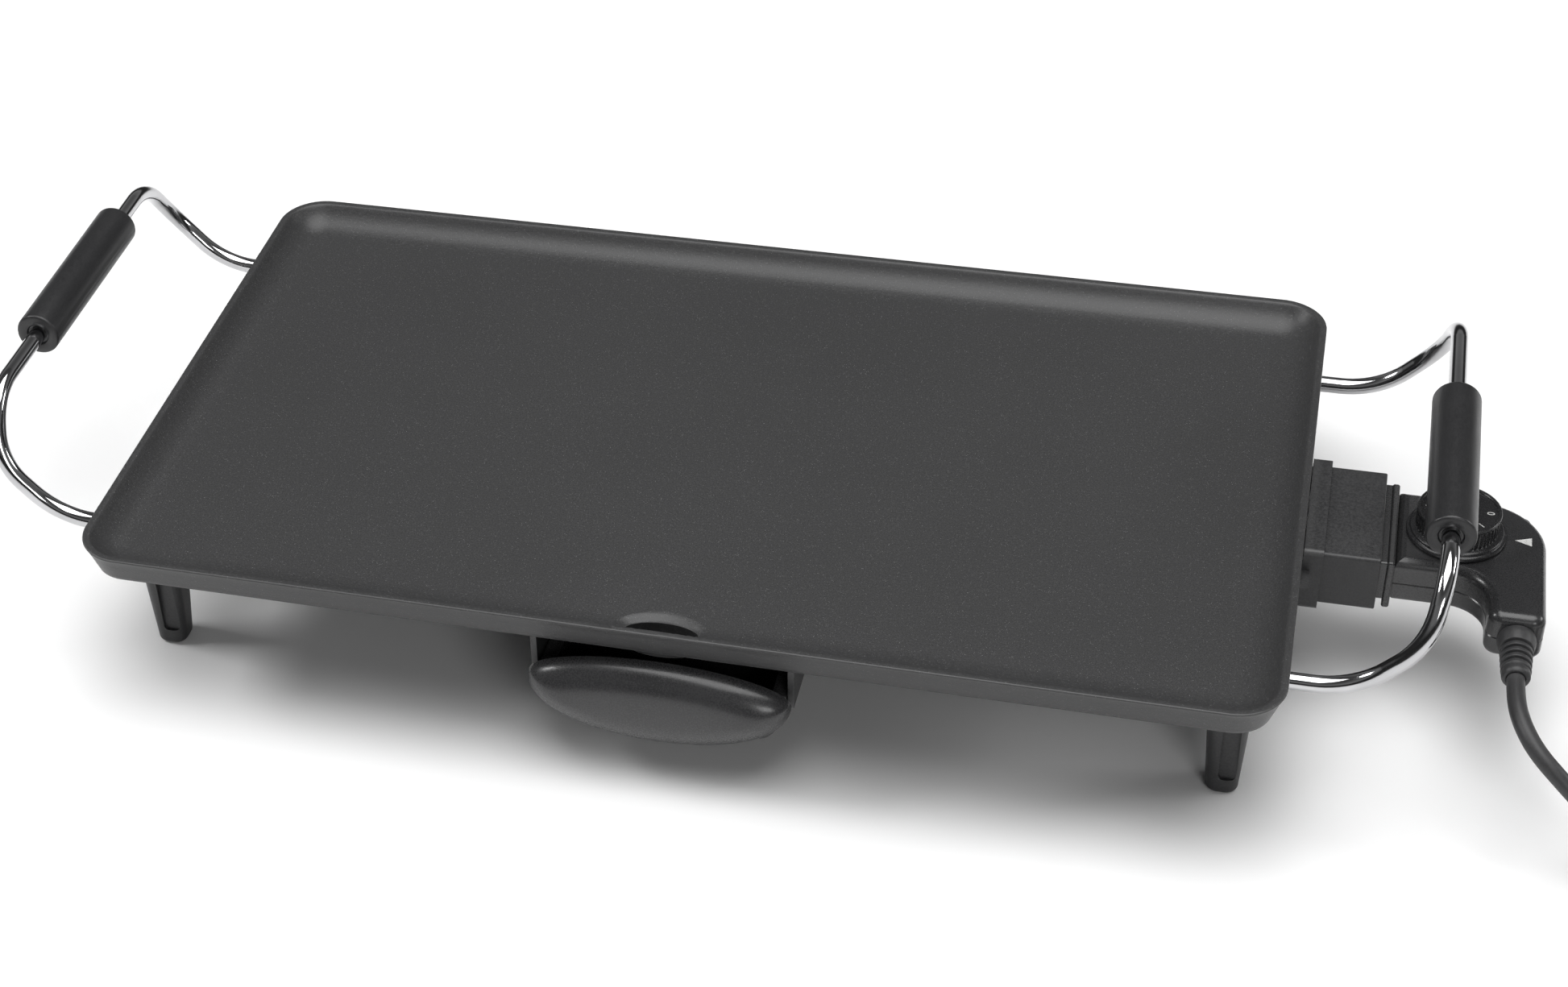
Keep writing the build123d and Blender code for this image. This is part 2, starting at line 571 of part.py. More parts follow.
def dial_spindle():
    return rod_z(DIAL_X, 0, (54.2, DIAL_TOP_Z - 3.2), SPINDLE_R)


# ---------------------------------------------------------------- cord and plug
def strain_relief():
    """A flange against the housing, the jacket's tail inside it and a ribbed sleeve."""
    z = (BODY_BOTTOM_Z + BODY_TOP_Z) / 2
    steps = [
        (JACKET_END_Y, ARM_END_Y + 6, CORD_R),
        (ARM_END_Y + 6, ARM_END_Y, 4.9),
        (ARM_END_Y, ARM_END_Y - 5, 7.4),
        (ARM_END_Y - 5, RELIEF_END_Y, 5.2),
    ]
    relief = None
    for start, end, radius in steps:
        piece = rod_y(RELIEF_X, (end, start), z, radius)
        relief = piece if relief is None else relief + piece
    for index in range(4):
        y = ARM_END_Y - 7 - 4.2 * index
        relief += rod_y(RELIEF_X, (y - 2.6, y), z, 6.3 - 0.15 * index)
    return relief


CORD_ROUTE = [
    (RELIEF_X, RELIEF_END_Y, 54.0),
    (RELIEF_X, -85.0, 54.0),
    (325.9, -96.5, 51.9),
    (331.8, -106.2, 48.0),
    (341.2, -113.1, 42.2),
    (351.8, -116.6, 33.0),
    (361.8, -117.4, 22.6),
    (372.4, -117.0, 13.0),
    (384.6, -116.0, 6.2),
    (396.8, -114.9, 3.7),
    (404.0, -114.4, 3.6),
]


def power_cord():
    radii = bend_radii(CORD_ROUTE)
    path = FilletPolyline(*CORD_ROUTE, radius=radii)
    solid = tube(path, CORD_R)
    print("cord bends", [round(r, 1) for r in radii])
    print("cord length", round(path.length, 1), "volume over section times length",
          round(solid.volume / (math.pi * CORD_R ** 2 * path.length), 4))
    return solid


def cord_coil():
    """The outer shape of the wound turns, lying on the table."""
    height = COIL_LAYERS * 2 * CORD_R + 0.4
    ring = rod_z(*COIL_CENTRE, (0, height), COIL_TURN_R[1] + CORD_R + 0.3)
    ring -= rod_z(*COIL_CENTRE, (-1, height + 1), COIL_TURN_R[0] - CORD_R - 0.3)
    return fillet(ring.edges(), 2.5)


def mains_plug():
    """A round plug on its side, with the boot that its cord comes out of."""
    boot = Plane(origin=(PLUG_X, PLUG_BOOT_Y, COIL_TOP_TURN_Z), z_dir=(0, 1, 0))
    neck = Plane(origin=(PLUG_X, PLUG_BOOT_Y + 30, PLUG_R), z_dir=(0, 1, 0))
    body = loft([boot * Circle(5.0), neck * Circle(9.5)])
    body += rod_y(PLUG_X, (PLUG_BOOT_Y + 30, PLUG_BOOT_Y + 36), PLUG_R, 14.0)
    head = rod_y(PLUG_X, (PLUG_BOOT_Y + 36, PLUG_BOOT_Y + 62), PLUG_R, PLUG_R)
    body += fillet(head.edges(), 1.5)
    return body


def plug_pins():
    pins = []
    for side in (-1, 1):
        pin = rod_y(PLUG_X + side * 9.5, (PLUG_BOOT_Y + 62, PLUG_BOOT_Y + 81), PLUG_R, 2.4)
        pins.append(fillet(pin.edges().group_by(Axis.Y)[-1], 1.8))
    return pins


# ---------------------------------------------------------------- writing the parts
def sub_parts():
    parts = {
        "griddle_plate": griddle_plate(),
        "heating_element": heating_element(),
        "terminal_seals": terminal_seals(),
        "terminal_pins": terminal_pins(),
        "earth_tab": earth_tab(),
        "foot_screws": foot_screws(),
        "tray_guide": tray_guide(),
        "guide_screws": guide_screws(),
        "drip_tray": drip_tray(),
        "socket_shroud": socket_shroud(),
        "shroud_screws": shroud_screws(),
        "controller_lower_housing": lower_housing(),
        "controller_upper_housing": upper_housing(),
        "housing_screws": housing_screws(),
        "controller_nose": controller_nose(),
        "contact_sleeves": contact_sleeves(),
        "earth_contact": earth_contact(),
        "probe": probe(),
        "thermostat_bracket": thermostat_bracket(),
        "contact_blades": contact_blades(),
        "ceramic_spacers": ceramic_spacers(),
        "lead_wires": lead_wires(),
        "cord_clamp": cord_clamp(),
        "dial": dial(),
        "dial_spindle": dial_spindle(),
        "strain_relief": strain_relief(),
        "power_cord": power_cord(),
        "cord_coil": cord_coil(),
        "mains_plug": mains_plug(),
        "plug_pins": plug_pins(),
    }
    for side, name in ((-1, "left"), (1, "right")):
        parts[name + "_handle_rod"] = handle_rod(side)
        parts[name + "_handle_grip"] = handle_grip(side, name)
        for side_y, end in ((-1, "front"), (1, "rear")):
            parts["foot_" + end + "_" + name] = foot(side, side_y)
    return parts


def write_parts():
    os.makedirs("parts", exist_ok=True)
    place = Pos(PLATE_X, PLATE_Y, 0)
    for name, shape in sub_parts().items():
        solids = shape if isinstance(shape, list) else [shape]
        moved = [place * solid for solid in solids]
        whole = moved[0] if len(moved) == 1 else Compound(children=moved)
        export_step(whole, os.path.join("parts", name + ".step"))


write_parts()
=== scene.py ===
"""Looks of an electric table griddle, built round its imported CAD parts.

Metres, +Z up, in the frame of the parts. Shapes are modelled about the centre of the cooking
plate and sizes are in millimetres until mm() turns a point into the shared frame.
"""
import json
import math

import bmesh
import bpy
import numpy as np
from mathutils import Matrix, Vector, geometry


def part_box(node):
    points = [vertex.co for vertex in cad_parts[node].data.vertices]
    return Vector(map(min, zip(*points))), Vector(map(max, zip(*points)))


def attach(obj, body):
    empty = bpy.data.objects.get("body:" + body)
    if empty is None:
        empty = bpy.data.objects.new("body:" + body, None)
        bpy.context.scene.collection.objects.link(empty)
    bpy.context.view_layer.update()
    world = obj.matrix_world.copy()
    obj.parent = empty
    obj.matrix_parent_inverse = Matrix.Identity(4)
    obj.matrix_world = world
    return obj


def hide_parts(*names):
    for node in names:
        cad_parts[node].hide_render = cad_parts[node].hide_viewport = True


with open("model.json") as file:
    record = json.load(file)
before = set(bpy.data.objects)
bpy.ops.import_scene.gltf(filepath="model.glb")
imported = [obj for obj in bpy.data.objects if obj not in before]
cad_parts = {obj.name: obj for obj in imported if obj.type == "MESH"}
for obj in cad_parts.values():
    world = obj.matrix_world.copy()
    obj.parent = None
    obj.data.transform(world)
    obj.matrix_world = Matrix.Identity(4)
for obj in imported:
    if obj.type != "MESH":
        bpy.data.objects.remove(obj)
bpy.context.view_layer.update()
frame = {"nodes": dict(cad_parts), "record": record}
NODES = frame["nodes"]

# ---- places that come from the parts
PLATE_LOW, PLATE_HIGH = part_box("griddle_plate")
PLATE_X = (PLATE_LOW.x + PLATE_HIGH.x) * 500
PLATE_Y = (PLATE_LOW.y + PLATE_HIGH.y) * 500
RIM_Z = PLATE_HIGH.z * 1000
PLATE_HALF_X = (PLATE_HIGH.x - PLATE_LOW.x) * 500
PLATE_HALF_Y = (PLATE_HIGH.y - PLATE_LOW.y) * 500

# ---- plate, in millimetres
RIM_LAND = 3.0
RIM_CORNER_R = 20.0
PLATE_HEIGHT = 14.0
PLATE_LEAN = math.tan(math.radians(19.65))
BASIN_DEPTH = 9.0
BASIN_LEAN = math.tan(math.radians(37.0))
BASIN_FILLET_R = 18.0
UNDERSIDE_Z = RIM_Z - PLATE_HEIGHT
BASIN_Z = RIM_Z - BASIN_DEPTH
TRAY_X = 3.0
DRAIN_Y = -125.2
DRAIN_HALF_X = 14.5
DRAIN_HALF_Y = 6.2
DRAIN_COLLAR = 0.7            # kept narrow, so that it stays inside the underside's outer edge
LAND_EDGE = 0.55              # inset of the rim's land from its outline


def mm(x, y, z):
    """A point in millimetres about the plate's centre, as metres in the shared frame."""
    return Vector(((x + PLATE_X) / 1000, (y + PLATE_Y) / 1000, z / 1000))


# ---------------------------------------------------------------- camera, floor and lights
CAMERA_PLACE = mm(222.57, -952.1, 790.3)
CAMERA_RIGHT = Vector((0.96444, 0.25993, -0.04792))
CAMERA_UP = Vector((-0.12166, 0.59752, 0.79257))
CAMERA_LENS = 66.1
CAMERA_SHIFT_X = 0.1403


def add_camera():
    data = bpy.data.cameras.new("camera")
    data.lens = CAMERA_LENS
    data.sensor_width = 36.0
    data.shift_x = CAMERA_SHIFT_X
    data.clip_start = 0.05
    camera = bpy.data.objects.new("camera", data)
    back = CAMERA_RIGHT.cross(CAMERA_UP).normalized()
    up = back.cross(CAMERA_RIGHT).normalized()
    turn = Matrix((CAMERA_RIGHT.normalized(), up, back)).transposed().to_4x4()
    camera.matrix_world = Matrix.Translation(CAMERA_PLACE) @ turn
    bpy.context.scene.collection.objects.link(camera)
    bpy.context.scene.camera = camera
    return camera


def add_floor(material):
    mesh = bpy.data.meshes.new("floor")
    size = 6.0
    corners = [(-size, -size, 0), (size, -size, 0), (size, size, 0), (-size, size, 0)]
    mesh.from_pydata(corners, [], [(0, 1, 2, 3)])
    floor = bpy.data.objects.new("floor", mesh)
    bpy.context.scene.collection.objects.link(floor)
    floor.data.materials.append(material)


def add_area_light(name, place, aim, size, power, shape_y=None):
    data = bpy.data.lights.new(name, "AREA")
    data.energy = power
    data.size = size
    if shape_y:
        data.shape = "RECTANGLE"
        data.size_y = shape_y
    lamp = bpy.data.objects.new(name, data)
    lamp.location = place
    lamp.rotation_euler = (Vector(aim) - Vector(place)).to_track_quat("-Z", "Y").to_euler()
    bpy.context.scene.collection.objects.link(lamp)
    return lamp


def add_sky():
    """A studio for reflections: dark near the horizon, with a soft grey band above it."""
    world = bpy.data.worlds.new("studio")
    world.use_nodes = True
    tree = world.node_tree
    place = tree.nodes.new("ShaderNodeTexCoord")
    split = tree.nodes.new("ShaderNodeSeparateXYZ")
    ramp = tree.nodes.new("ShaderNodeValToRGB")
    tree.links.new(place.outputs["Generated"], split.inputs["Vector"])
    tree.links.new(split.outputs["Z"], ramp.inputs["Fac"])
    tree.links.new(ramp.outputs["Color"], tree.nodes["Background"].inputs["Color"])
    stops = [(0.0, 0.30), (0.06, 0.05), (0.28, 0.03), (0.40, 0.30), (0.55, 0.22), (0.75, 0.08), (1.0, 0.12)]
    elements = ramp.color_ramp.elements
    while len(elements) < len(stops):
        elements.new(0.5)
    for element, (at, grey) in zip(elements, stops):
        element.position = at
        element.color = (grey, grey, grey, 1)
    tree.nodes["Background"].inputs["Strength"].default_value = 0.7
    bpy.context.scene.world = world


def add_lights():
    add_sky()
    add_area_light("key_light", (-1.5, -0.2, 1.3), (0, 0, 0.05), 0.6, 12, 0.4)
    add_area_light("top_light", (0.1, -0.1, 2.4), (0, 0, 0), 2.2, 66)
    add_area_light("fill_light", (0.9, -1.6, 1.0), (0, 0, 0.05), 0.7, 6, 0.4)
    add_area_light("side_light", (1.7, 0.5, 0.8), (0.1, 0, 0.05), 0.6, 6, 0.3)
    bpy.context.scene.view_settings.view_transform = "Standard"


# ---------------------------------------------------------------- materials
class Nodes:
    """A material's node tree, with short ways to add and link its nodes."""

    def __init__(self, name):
        self.material = bpy.data.materials.new(name)
        self.material.use_nodes = True
        self.tree = self.material.node_tree
        self.shader = self.tree.nodes["Principled BSDF"]
        self.place = self.add("ShaderNodeTexCoord").outputs["Object"]

    def add(self, kind, **values):
        node = self.tree.nodes.new(kind)
        for name, value in values.items():
            if hasattr(node, name):
                setattr(node, name, value)
            else:
                node.inputs[name.replace("_", " ")].default_value = value
        return node

    def link(self, out, into):
        self.tree.links.new(out, into)

    def noise(self, scale, detail=3.0, roughness=0.5, stretch=None):
        """A noise value in object space, with scale in features per metre."""
        node = self.add("ShaderNodeTexNoise")
        node.inputs["Scale"].default_value = scale
        node.inputs["Detail"].default_value = detail
        node.inputs["Roughness"].default_value = roughness
        place = self.place
        if stretch:
            mapping = self.add("ShaderNodeMapping")
            mapping.inputs["Scale"].default_value = stretch
            self.link(place, mapping.inputs["Vector"])
            place = mapping.outputs["Vector"]
        self.link(place, node.inputs["Vector"])
        return node.outputs["Fac"]

    def cells(self, scale, feature="F1"):
        node = self.add("ShaderNodeTexVoronoi")
        node.feature = feature
        node.inputs["Scale"].default_value = scale
        self.link(self.place, node.inputs["Vector"])
        return node.outputs["Distance"]

    def spread(self, value, low, high, to_low=0.0, to_high=1.0):
        """value from low..high is spread over to_low..to_high."""
        node = self.add("ShaderNodeMapRange")
        for name, number in (("From Min", low), ("From Max", high), ("To Min", to_low), ("To Max", to_high)):
            node.inputs[name].default_value = number
        self.link(value, node.inputs["Value"])
        return node.outputs["Result"]

    def mix(self, factor, first, second):
        """A colour between two colours, each a tuple or a socket."""
        node = self.add("ShaderNodeMix", data_type="RGBA")
        self.link(factor, node.inputs[0])
        for index, colour in ((6, first), (7, second)):
            if isinstance(colour, tuple):
                node.inputs[index].default_value = (*colour, 1)
            else:
                self.link(colour, node.inputs[index])
        return node.outputs[2]

    def maths(self, operation, first, second):
        node = self.add("ShaderNodeMath", operation=operation)
        for index, value in ((0, first), (1, second)):
            if isinstance(value, (int, float)):
                node.inputs[index].default_value = value
            else:
                self.link(value, node.inputs[index])
        return node.outputs[0]

    def edges(self, low=0.52, high=0.6):
        """1 on raised edges, 0 elsewhere; the mask for painted edge highlights."""
        node = self.add("ShaderNodeNewGeometry")
        return self.spread(node.outputs["Pointiness"], low, high)

    def bump(self, height, distance, strength=1.0, under=None):
        node = self.add("ShaderNodeBump")
        node.inputs["Strength"].default_value = strength
        node.inputs["Distance"].default_value = distance
        self.link(height, node.inputs["Height"])
        if under is not None:
            self.link(under, node.inputs["Normal"])
        return node.outputs["Normal"]

    def finish(self, colour, rough, normal=None, **constants):
        self.link(colour, self.shader.inputs["Base Color"])
        self.link(rough, self.shader.inputs["Roughness"])
        if normal is not None:
            self.link(normal, self.shader.inputs["Normal"])
        for name, value in constants.items():
            self.shader.inputs[name.replace("_", " ")].default_value = value
        return self.material


def nonstick_material():
    """Speckled satin coat on cast metal, with a painted highlight that lightens its raised edges."""
    n = Nodes("nonstick_coat_look")
    flecks = n.spread(n.cells(1700), 0.10, 0.26, 1.0, 0.0)
    sparse = n.spread(n.noise(900, 2), 0.50, 0.66)
    flecks = n.maths("MULTIPLY", flecks, sparse)
    grain = n.noise(1500, 4, 0.7)
    cloud = n.noise(9, 3)
    base = n.mix(n.spread(grain, 0.3, 0.7), (0.024, 0.024, 0.0245), (0.052, 0.052, 0.053))
    base = n.mix(n.spread(cloud, 0.35, 0.65, 0.0, 0.35), base, (0.030, 0.030, 0.0305))
    base = n.mix(n.maths("MULTIPLY", flecks, 0.7), base, (0.30, 0.30, 0.30))
    # Painted highlight: raised edges are lightened towards a pale grey.
    base = n.mix(n.maths("MULTIPLY", n.edges(), 0.5), base, (0.12, 0.12, 0.12))
    rough = n.spread(grain, 0.3, 0.7, 0.34, 0.46)
    normal = n.bump(n.noise(700, 3), 0.00012, 0.5)
    normal = n.bump(grain, 0.00005, 0.6, normal)
    return n.finish(base, rough, normal, Specular_IOR_Level=0.4)


def chrome_material():
    n = Nodes("chrome_wire_look")
    scratches = n.noise(60, 5, 0.7, (40, 6, 6))
    tint = n.mix(n.spread(n.noise(40, 3), 0.4, 0.6), (0.50, 0.50, 0.51), (0.60, 0.60, 0.61))
    rough = n.spread(scratches, 0.3, 0.75, 0.05, 0.14)
    normal = n.bump(scratches, 0.00003, 0.25)
    return n.finish(tint, rough, normal, Metallic=1.0)


def moulded_material(name, dark, light, rough_low, rough_high, grain_scale=1400.0, grain_depth=0.00006,
                     edge_highlight=(0.10, 0.10, 0.10), coat=0.0):
    """A black moulding: fine grain, faint mottling, and a painted highlight that lightens its raised edges.
    """
    n = Nodes(name)
    grain = n.noise(grain_scale, 3, 0.6)
    mottle = n.noise(35, 4)
    base = n.mix(n.spread(grain, 0.35, 0.68), dark, light)
    base = n.mix(n.spread(mottle, 0.45, 0.62, 0.0, 0.3), base, light)
    # Painted highlight: raised edges are lightened towards the edge colour.
    base = n.mix(n.maths("MULTIPLY", n.edges(0.53, 0.62), 0.35), base, edge_highlight)
    rough = n.maths("ADD", n.spread(grain, 0.3, 0.7, rough_low, rough_high),
                    n.spread(mottle, 0.4, 0.7, -0.02, 0.04))
    normal = n.bump(grain, grain_depth, 0.5)
    return n.finish(base, rough, normal, Coat_Weight=coat)


def metal_material(name, dark, light, rough_low, rough_high):
    """Bare metal with drawn marks and light tarnish."""
    n = Nodes(name)
    drawn = n.noise(300, 4, 0.65, (8, 1, 1))
    tarnish = n.noise(120, 4)
    base = n.mix(n.spread(tarnish, 0.35, 0.65), light, dark)
    rough = n.spread(drawn, 0.3, 0.7, rough_low, rough_high)
    return n.finish(base, rough, n.bump(drawn, 0.00004, 0.3), Metallic=1.0)


def braid_material():
    """Glass-braided lead cover."""
    n = Nodes("wire_insulation_look")
    wave = n.add("ShaderNodeTexWave", bands_direction="DIAGONAL")
    wave.inputs["Scale"].default_value = 700
    n.link(n.place, wave.inputs["Vector"])
    base = n.mix(wave.outputs["Fac"], (0.36, 0.24, 0.13), (0.62, 0.46, 0.28))
    rough = n.spread(n.noise(900), 0.3, 0.7, 0.6, 0.8)
    return n.finish(base, rough, n.bump(wave.outputs["Fac"], 0.0002, 0.6))


def ceramic_material():
    n = Nodes("ceramic_look")
    base = n.mix(n.spread(n.noise(300, 4), 0.4, 0.65), (0.86, 0.84, 0.79), (0.74, 0.71, 0.65))
    rough = n.spread(n.noise(900, 3), 0.3, 0.7, 0.35, 0.55)
    return n.finish(base, rough, n.bump(n.noise(1200, 3), 0.00004, 0.4))


def floor_material():
    n = Nodes("floor_look")
    base = n.mix(n.noise(3, 2), (0.93, 0.93, 0.93), (0.95, 0.95, 0.95))
    rough = n.spread(n.noise(40, 3), 0.3, 0.7, 0.62, 0.72)
    return n.finish(base, rough)


def marking_material():
    n = Nodes("marking_look")
    base = n.mix(n.spread(n.noise(1500, 3), 0.35, 0.6), (0.42, 0.42, 0.41), (0.60, 0.60, 0.59))
    rough = n.spread(n.noise(900, 3), 0.3, 0.7, 0.45, 0.6)
    return n.finish(base, rough)


def make_materials():
    return {
        "nonstick_coat": nonstick_material(),
        "chrome_wire": chrome_material(),
        "grip_black": moulded_material("grip_black_look", (0.012, 0.012, 0.013), (0.020, 0.020, 0.021),
                                       0.34, 0.44),
        "phenolic": moulded_material("phenolic_look", (0.016, 0.016, 0.017), (0.034, 0.034, 0.035),
                                     0.38, 0.52, 1100.0, 0.00010),
        "gloss_black": moulded_material("gloss_black_look", (0.012, 0.012, 0.013), (0.026, 0.026, 0.027),
                                        0.24, 0.36, 2200.0, 0.00003, coat=0.15),
        "dial_black": moulded_material("dial_black_look", (0.010, 0.010, 0.011), (0.020, 0.020, 0.021),
                                       0.20, 0.30),
        "tray_plastic": moulded_material("tray_plastic_look", (0.022, 0.022, 0.023), (0.036, 0.036, 0.037),
                                         0.22, 0.32, 1600.0, 0.00004, coat=0.1),
        "bright_steel": metal_material("bright_steel_look", (0.42, 0.41, 0.40), (0.62, 0.62, 0.62),
                                       0.22, 0.4),
        "brass": metal_material("brass_look", (0.52, 0.36, 0.14), (0.78, 0.60, 0.28), 0.22, 0.4),
        "nickel_pins": metal_material("nickel_pins_look", (0.60, 0.57, 0.50), (0.78, 0.76, 0.70), 0.12, 0.28),
        "ceramic": ceramic_material(),
        "wire_insulation": braid_material(),
        "cord_rubber": moulded_material("cord_rubber_look", (0.022, 0.022, 0.023), (0.034, 0.034, 0.035),
                                        0.42, 0.56),
        "plug_rubber": moulded_material("plug_rubber_look", (0.018, 0.018, 0.019), (0.030, 0.030, 0.031),
                                        0.36, 0.5),
        "marking": marking_material(),
        "floor": floor_material(),
    }


MATERIALS = make_materials()


def paint_cad_nodes():
    for part in frame["record"]["subparts"]:
        material = MATERIALS[part["material_slot"]]
        slots = NODES[part["node"]].material_slots
        for slot in slots:
            slot.material = material


# ---------------------------------------------------------------- mesh helpers
def piece_from(name, verts, faces, slot, body, replaced=(), smooth_angle=35.0, look=None):
    """A mesh object in the shared frame, riding on a body; verts are in millimetres."""
    mesh = bpy.data.meshes.new(name)
    mesh.from_pydata([mm(*v) for v in verts], [], faces)
    mesh.validate()
    work = bmesh.new()
    work.from_mesh(mesh)
    bmesh.ops.remove_doubles(work, verts=work.verts, dist=1e-7)
    bmesh.ops.recalc_face_normals(work, faces=work.faces)
    work.to_mesh(mesh)
    work.free()
    piece = bpy.data.objects.new(name, mesh)
    bpy.context.scene.collection.objects.link(piece)
    mesh.materials.append(MATERIALS[look or slot])
    shade(piece, smooth_angle)
    return place_piece(piece, body, replaced)


def place_piece(piece, body, replaced=()):
    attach(piece, body)
    if replaced:
        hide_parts(*replaced)
    return piece


def shade(piece, angle):
    mesh = piece.data
    mesh.shade_smooth()
    mesh.set_sharp_from_angle(angle=math.radians(angle))


class Shell:
    """Vertices and faces gathered ring by ring, in millimetres."""

    def __init__(self):
        self.verts = []
        self.faces = []

    def ring(self, points):
        start = len(self.verts)
        self.verts.extend(points)
        return range(start, len(self.verts))

    def bridge(self, low, high):
        count = len(low)
        for i in range(count):
            j = (i + 1) % count
            self.faces.append((low[i], low[j], high[j], high[i]))

    def loft(self, rings, cap_first=True, cap_last=True):
        """Joins rings that all have as many points, and closes both ends."""
        made = [self.ring(points) for points in rings]
        for low, high in zip(made, made[1:]):
            self.bridge(low, high)
        if cap_first:
            self.faces.append(tuple(reversed(made[0])))
        if cap_last:
            self.faces.append(tuple(made[-1]))
        return made


def arc(centre, radius, start, end, count):
    """Points of an arc, with angles in degrees, both ends included."""
    steps = [math.radians(start + (end - start) * i / (count - 1)) for i in range(count)]
    return [(centre[0] + radius * math.cos(a), centre[1] + radius * math.sin(a)) for a in steps]


def round_rect(half_x, half_y, radius, per_corner=10):
    """A rounded rectangle's outline, anticlockwise from the right-hand side."""
    cx, cy = half_x - radius, half_y - radius
    points = []
    for sx, sy, start in ((1, 1, 0), (-1, 1, 90), (-1, -1, 180), (1, -1, 270)):
        points += arc((sx * cx, sy * cy), radius, start, start + 90, per_corner)
    return points


def lathe(shell, profile, place, count=64):
    """Turns (radius, height) pairs about an axis; place maps (a, b, height) to a point."""
    rings = []
    for radius, height in profile:
        angles = [2 * math.pi * i / count for i in range(count)]
        rings.append([place(radius * math.cos(a), radius * math.sin(a), height) for a in angles])
    shell.loft(rings)


def rounded_profile(points, radius, count=5):
    """Rounds the corners of a lathe profile. A corner may carry its own radius as a third value."""
    rounded = [tuple(points[0][:2])]
    for before, corner, after in zip(points, points[1:], points[2:]):
        own = corner[2] if len(corner) > 2 else radius
        middle = Vector(corner[:2])
        to_before, to_after = Vector(before[:2]) - middle, Vector(after[:2]) - middle
        reach = min(own, 0.45 * to_before.length, 0.45 * to_after.length)
        first, last = middle + to_before.normalized() * reach, middle + to_after.normalized() * reach
        for i in range(count):
            t = i / (count - 1)
            point = first * (1 - t) ** 2 + middle * 2 * t * (1 - t) + last * t ** 2
            rounded.append((point.x, point.y))
    rounded.append(tuple(points[-1][:2]))
    return rounded


# ---------------------------------------------------------------- griddle plate
DISH_REACH = 5.0              # how far the drain's dish spreads
DISH_DEPTH = 1.6


def basin_height(x, y):
    """Height of the plate's upper side, from its rim land down to its floor."""
    inset = rim_inset(x, y) - RIM_LAND
    z = RIM_Z - min(max(inset, 0) / BASIN_LEAN, BASIN_DEPTH)
    tangent = BASIN_FILLET_R * math.tan((math.pi / 2 - math.atan(BASIN_LEAN)) / 2)
    foot = BASIN_DEPTH * BASIN_LEAN
    if inset > foot - tangent * BASIN_LEAN / math.hypot(1, BASIN_LEAN):
        run = inset - (foot + tangent)
        if run < 0:
            z = BASIN_Z + BASIN_FILLET_R - math.sqrt(BASIN_FILLET_R ** 2 - run ** 2)
        else:
            z = BASIN_Z
    lip_run = 1.2 - abs(inset)
    if lip_run > 0:
        z -= 0.25 * (lip_run / 1.2) ** 2
    return z - dish_depth(x, y)


def rim_inset(x, y):
    """Distance from the rim's outline, inwards."""
    dx = abs(x) - (PLATE_HALF_X - RIM_CORNER_R)
    dy = abs(y) - (PLATE_HALF_Y - RIM_CORNER_R)
    outside = math.hypot(max(dx, 0), max(dy, 0)) + min(max(dx, dy), 0)
    return RIM_CORNER_R - outside


def drain_distance(x, y):
    """Roughly the distance from the edge of the oval drain opening, outwards."""
    share = math.hypot((x - TRAY_X) / DRAIN_HALF_X, (y - DRAIN_Y) / DRAIN_HALF_Y)
    reach = math.hypot(x - TRAY_X, y - DRAIN_Y)
    return reach * (1 - 1 / share) if share > 0.01 else -DRAIN_HALF_Y


def dish_depth(x, y):
    away = drain_distance(x, y)
    if away >= DISH_REACH:
        return 0.0
    t = 1 - max(away, 0) / DISH_REACH
    return DISH_DEPTH * t * t * (3 - 2 * t) * min(1.0, max(rim_inset(x, y) - RIM_LAND, 0) / 3.0)


def drain_outline(grow, count=56):
    angles = [2 * math.pi * i / count for i in range(count)]
    return [(TRAY_X + (DRAIN_HALF_X + grow) * math.cos(a), DRAIN_Y + (DRAIN_HALF_Y + grow) * math.sin(a))
            for a in angles]


def rim_outline(inset, per_corner=14, step=9.0):
    """The rim's outline, set in, with points all along its sides."""
    radius = max(RIM_CORNER_R - inset, 3.0)
    half_x, half_y = PLATE_HALF_X - inset, PLATE_HALF_Y - inset
    corners = round_rect(half_x, half_y, radius, per_corner)
    points = []
    for i, point in enumerate(corners):
        points.append(point)
        after = corners[(i + 1) % len(corners)]
        if i % per_corner == per_corner - 1:
            length = math.dist(point, after)
            count = max(int(round(length / step)), 1)
            points += [(point[0] + (after[0] - point[0]) * k / count,
                        point[1] + (after[1] - point[1]) * k / count) for k in range(1, count)]
    return points


def top_face_points(shell):
    """Triangulates the plate's upper side between the rim and the drain; returns both edge loops."""
    insets = [LAND_EDGE, 1.6, 2.5, 2.9, 3.3, 3.8, 4.6, 5.6, 6.6, 7.4, 8.2, 9.2, 10.4, 11.6, 13.0, 14.4,
              16.0, 17.6, 19.4, 22]
    grows = [0.0, 0.35, 0.8, 1.4, 2.2, 3.2, 4.4, 5.8, 7.4, 9.2]
    loops = [rim_outline(inset, 14, 9.0 if inset < 30 else 14.0) for inset in insets]
    slots = [drain_outline(grow) for grow in grows]
    points = list(loops[0])
    edge = [(i, (i + 1) % len(points)) for i in range(len(points))]
    start = len(points)
    points += slots[0]
    hole = [(start + i, start + (i + 1) % len(slots[0])) for i in range(len(slots[0]))]
    for loop in loops[1:]:
        points += [p for p in loop if drain_distance(*p) > 10.6]
    near_rim = [p for slot in slots[1:] for p in slot if rim_inset(*p) > 1.2]
    points += near_rim
    result = geometry.delaunay_2d_cdt([Vector(p) for p in points], edge + hole, [], 1, 1e-5)
    flat, faces = result[0], result[2]
    kept = []
    for face in faces:
        middle = sum((flat[i] for i in face), Vector((0, 0))) / len(face)
        if drain_distance(*middle) > 0 and rim_inset(*middle) > 0.5:
            kept.append(face)
    made = shell.ring([(p.x, p.y, basin_height(p.x, p.y)) for p in flat])
    shell.faces += [tuple(made[i] for i in face) for face in kept]
    return made, [made[i] for i in range(start)], [made[start + i] for i in range(len(slots[0]))]


